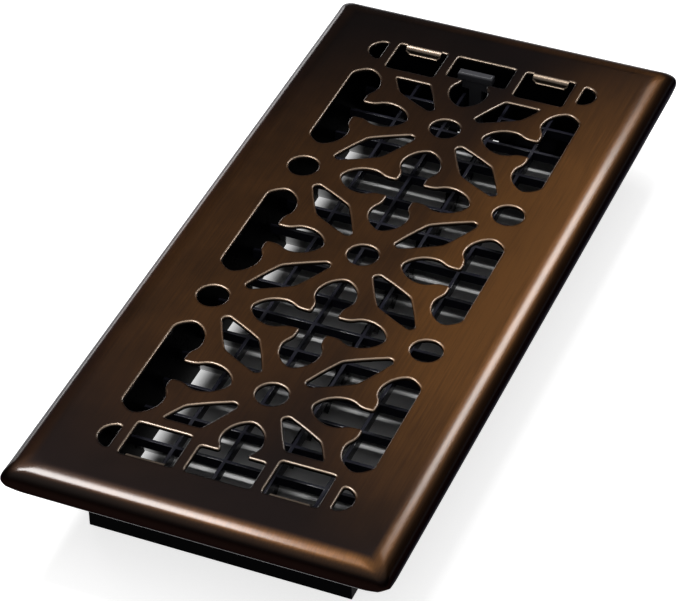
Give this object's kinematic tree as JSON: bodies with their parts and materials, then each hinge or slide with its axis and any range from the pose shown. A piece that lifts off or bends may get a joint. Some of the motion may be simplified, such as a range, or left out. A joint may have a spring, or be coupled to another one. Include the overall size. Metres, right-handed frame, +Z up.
{
  "type": "floor register",
  "caption": "Rectangular floor register: pierced tracery face plate in dark bronze over a black damper box with a rib grid, tilting louvers, a tie bar and a thumb lever.",
  "frame": {"origin": "centre of the register at floor level, where the damper box enters the duct", "axes": "+Z up out of the floor, +Y along the length towards the lever end, +X across the width"},
  "size_m": [0.1372, 0.2936, 0.0356],
  "materials": {
    "bronze_plate": "satin dark bronze plating over pierced steel, finely brushed along the length",
    "box_plastic": "moulded black plastic, semi-gloss",
    "louver_plastic": "moulded black plastic, glossy",
    "lever_plastic": "moulded black plastic, semi-gloss"
  },
  "bodies": {
    "frame": {"face_plate": "bronze_plate", "damper_box": "box_plastic", "air_grid": "box_plastic"},
    "louver_01": {"louver_01": "louver_plastic"},
    "louver_02": {"louver_02": "louver_plastic"},
    "louver_03": {"louver_03": "louver_plastic"},
    "louver_04": {"louver_04": "louver_plastic"},
    "louver_05": {"louver_05": "louver_plastic"},
    "louver_06": {"louver_06": "louver_plastic"},
    "louver_07": {"louver_07": "louver_plastic"},
    "louver_08": {"louver_08": "louver_plastic"},
    "louver_09": {"louver_09": "louver_plastic"},
    "louver_10": {"louver_10": "louver_plastic"},
    "louver_11": {"louver_11": "louver_plastic"},
    "louver_12": {"louver_12": "louver_plastic"},
    "louver_13": {"louver_13": "louver_plastic"},
    "louver_14": {"louver_14": "louver_plastic"},
    "louver_15": {"louver_15": "louver_plastic"},
    "linkage": {"link_bar": "louver_plastic", "lever": "lever_plastic"}
  },
  "joints": [
    {"name": "louver_01_tilt", "type": "hinge", "parent": "frame", "child": "louver_01", "pos_m": [0, -0.10661, -0.0209], "axis": [1, 0, 0], "range_deg": [-36.5, 51.5]},
    {"name": "louver_02_tilt", "type": "hinge", "parent": "frame", "child": "louver_02", "pos_m": [0, -0.09138, -0.0209], "axis": [1, 0, 0], "range_deg": [-36.5, 51.5]},
    {"name": "louver_03_tilt", "type": "hinge", "parent": "frame", "child": "louver_03", "pos_m": [0, -0.07615, -0.0209], "axis": [1, 0, 0], "range_deg": [-36.5, 51.5]},
    {"name": "louver_04_tilt", "type": "hinge", "parent": "frame", "child": "louver_04", "pos_m": [0, -0.06092, -0.0209], "axis": [1, 0, 0], "range_deg": [-36.5, 51.5]},
    {"name": "louver_05_tilt", "type": "hinge", "parent": "frame", "child": "louver_05", "pos_m": [0, -0.04569, -0.0209], "axis": [1, 0, 0], "range_deg": [-36.5, 51.5]},
    {"name": "louver_06_tilt", "type": "hinge", "parent": "frame", "child": "louver_06", "pos_m": [0, -0.03046, -0.0209], "axis": [1, 0, 0], "range_deg": [-36.5, 51.5]},
    {"name": "louver_07_tilt", "type": "hinge", "parent": "frame", "child": "louver_07", "pos_m": [0, -0.01523, -0.0209], "axis": [1, 0, 0], "range_deg": [-36.5, 51.5]},
    {"name": "louver_08_tilt", "type": "hinge", "parent": "frame", "child": "louver_08", "pos_m": [0, 0, -0.0209], "axis": [1, 0, 0], "range_deg": [-36.5, 51.5]},
    {"name": "louver_09_tilt", "type": "hinge", "parent": "frame", "child": "louver_09", "pos_m": [0, 0.01523, -0.0209], "axis": [1, 0, 0], "range_deg": [-36.5, 51.5]},
    {"name": "louver_10_tilt", "type": "hinge", "parent": "frame", "child": "louver_10", "pos_m": [0, 0.03046, -0.0209], "axis": [1, 0, 0], "range_deg": [-36.5, 51.5]},
    {"name": "louver_11_tilt", "type": "hinge", "parent": "frame", "child": "louver_11", "pos_m": [0, 0.04569, -0.0209], "axis": [1, 0, 0], "range_deg": [-36.5, 51.5]},
    {"name": "louver_12_tilt", "type": "hinge", "parent": "frame", "child": "louver_12", "pos_m": [0, 0.06092, -0.0209], "axis": [1, 0, 0], "range_deg": [-36.5, 51.5]},
    {"name": "louver_13_tilt", "type": "hinge", "parent": "frame", "child": "louver_13", "pos_m": [0, 0.07615, -0.0209], "axis": [1, 0, 0], "range_deg": [-36.5, 51.5]},
    {"name": "louver_14_tilt", "type": "hinge", "parent": "frame", "child": "louver_14", "pos_m": [0, 0.09138, -0.0209], "axis": [1, 0, 0], "range_deg": [-36.5, 51.5]},
    {"name": "louver_15_tilt", "type": "hinge", "parent": "frame", "child": "louver_15", "pos_m": [0, 0.10661, -0.0209], "axis": [1, 0, 0], "range_deg": [-36.5, 51.5]},
    {"name": "linkage_swing", "type": "hinge", "parent": "louver_15", "child": "linkage", "pos_m": [0, 0.1069, -0.02616], "axis": [1, 0, 0], "range_deg": [-51.5, 36.5]}
  ],
  "couplings": [
    {"joint": "louver_01_tilt", "follows": "louver_15_tilt", "ratio": 1},
    {"joint": "louver_02_tilt", "follows": "louver_15_tilt", "ratio": 1},
    {"joint": "louver_03_tilt", "follows": "louver_15_tilt", "ratio": 1},
    {"joint": "louver_04_tilt", "follows": "louver_15_tilt", "ratio": 1},
    {"joint": "louver_05_tilt", "follows": "louver_15_tilt", "ratio": 1},
    {"joint": "louver_06_tilt", "follows": "louver_15_tilt", "ratio": 1},
    {"joint": "louver_07_tilt", "follows": "louver_15_tilt", "ratio": 1},
    {"joint": "louver_08_tilt", "follows": "louver_15_tilt", "ratio": 1},
    {"joint": "louver_09_tilt", "follows": "louver_15_tilt", "ratio": 1},
    {"joint": "louver_10_tilt", "follows": "louver_15_tilt", "ratio": 1},
    {"joint": "louver_11_tilt", "follows": "louver_15_tilt", "ratio": 1},
    {"joint": "louver_12_tilt", "follows": "louver_15_tilt", "ratio": 1},
    {"joint": "louver_13_tilt", "follows": "louver_15_tilt", "ratio": 1},
    {"joint": "louver_14_tilt", "follows": "louver_15_tilt", "ratio": 1},
    {"joint": "linkage_swing", "follows": "louver_15_tilt", "ratio": -1}
  ]
}
